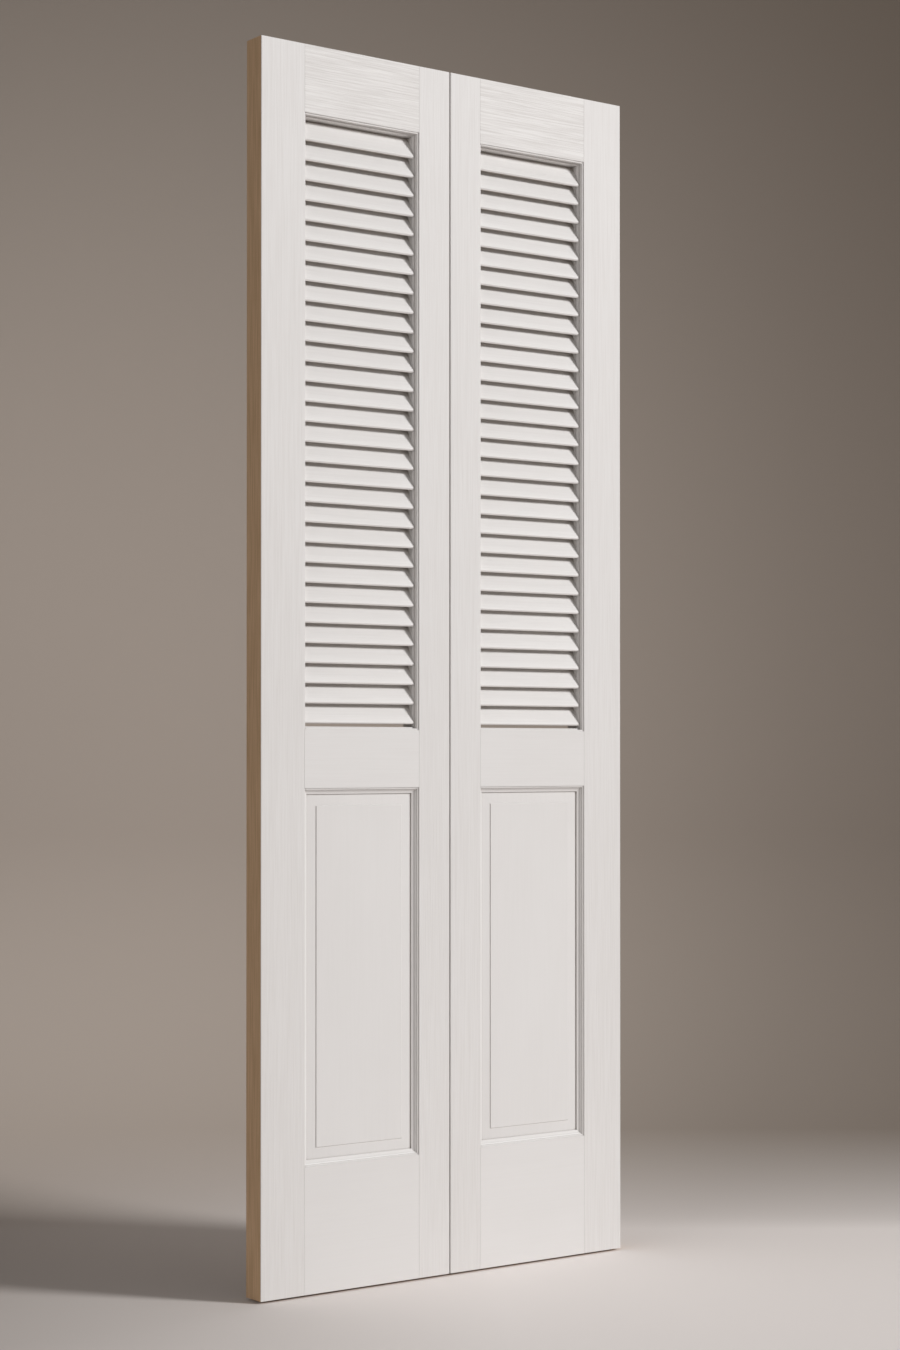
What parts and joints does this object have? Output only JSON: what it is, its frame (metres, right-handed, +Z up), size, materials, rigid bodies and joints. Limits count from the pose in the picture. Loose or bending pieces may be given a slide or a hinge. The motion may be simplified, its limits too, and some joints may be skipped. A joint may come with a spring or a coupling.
{
  "type": "pair of louvred swing doors",
  "caption": "Pair of full-height louvre-over-raised-panel cafe doors, each leaf swinging both ways on concealed spring pivots in its outer stile.",
  "frame": {"origin": "on the floor, at the centre of the meeting gap, in the middle of the leaf thickness, doors closed", "axes": "+X across the doorway to the picture's right, +Y from the front face to the back, +Z up"},
  "size_m": [0.7422, 0.0446, 2.0146],
  "materials": {
    "painted_wood": "white satin paint, outer edges left bare",
    "steel": "zinc plated",
    "spring_steel": "oiled wire",
    "brass": "turned",
    "nylon": "natural"
  },
  "bodies": {
    "doorway_fittings": {"left_floor_plate": "steel", "left_thrust_washer": "brass", "left_head_plate": "steel", "right_floor_plate": "steel", "right_thrust_washer": "brass", "right_head_plate": "steel"},
    "left_leaf": {"left_hinge_stile": "painted_wood", "left_meeting_stile": "painted_wood", "left_top_rail": "painted_wood", "left_mid_rail": "painted_wood", "left_bottom_rail": "painted_wood", "left_raised_panel": "painted_wood", "left_louvre_slats": "painted_wood", "left_spring_barrel": "steel", "left_spindle_bush": "nylon", "left_centring_spring": "spring_steel", "left_top_pin_housing": "steel", "left_top_pin_spring": "spring_steel"},
    "right_leaf": {"right_hinge_stile": "painted_wood", "right_meeting_stile": "painted_wood", "right_top_rail": "painted_wood", "right_mid_rail": "painted_wood", "right_bottom_rail": "painted_wood", "right_raised_panel": "painted_wood", "right_louvre_slats": "painted_wood", "right_spring_barrel": "steel", "right_spindle_bush": "nylon", "right_centring_spring": "spring_steel", "right_top_pin_housing": "steel", "right_top_pin_spring": "spring_steel"},
    "left_pin": {"left_top_pin": "steel"},
    "right_pin": {"right_top_pin": "steel"}
  },
  "joints": [
    {"name": "left_leaf_swing", "type": "hinge", "parent": "doorway_fittings", "child": "left_leaf", "pos_m": [-0.3301, 0, 0], "axis": [0, 0, 1], "range_deg": [-90, 90], "stiffness_Nm_per_rad": 3},
    {"name": "right_leaf_swing", "type": "hinge", "parent": "doorway_fittings", "child": "right_leaf", "pos_m": [0.3301, 0, 0], "axis": [0, 0, 1], "range_deg": [-90, 90], "stiffness_Nm_per_rad": 3},
    {"name": "left_pin_retract", "type": "slide", "parent": "left_leaf", "child": "left_pin", "axis": [0, 0, -1], "range_m": [0, 0.005], "stiffness_N_per_m": 600, "springref_m": -0.003, "deforming": ["left_top_pin_spring"]},
    {"name": "right_pin_retract", "type": "slide", "parent": "right_leaf", "child": "right_pin", "axis": [0, 0, -1], "range_m": [0, 0.005], "stiffness_N_per_m": 600, "springref_m": -0.003, "deforming": ["right_top_pin_spring"]}
  ]
}
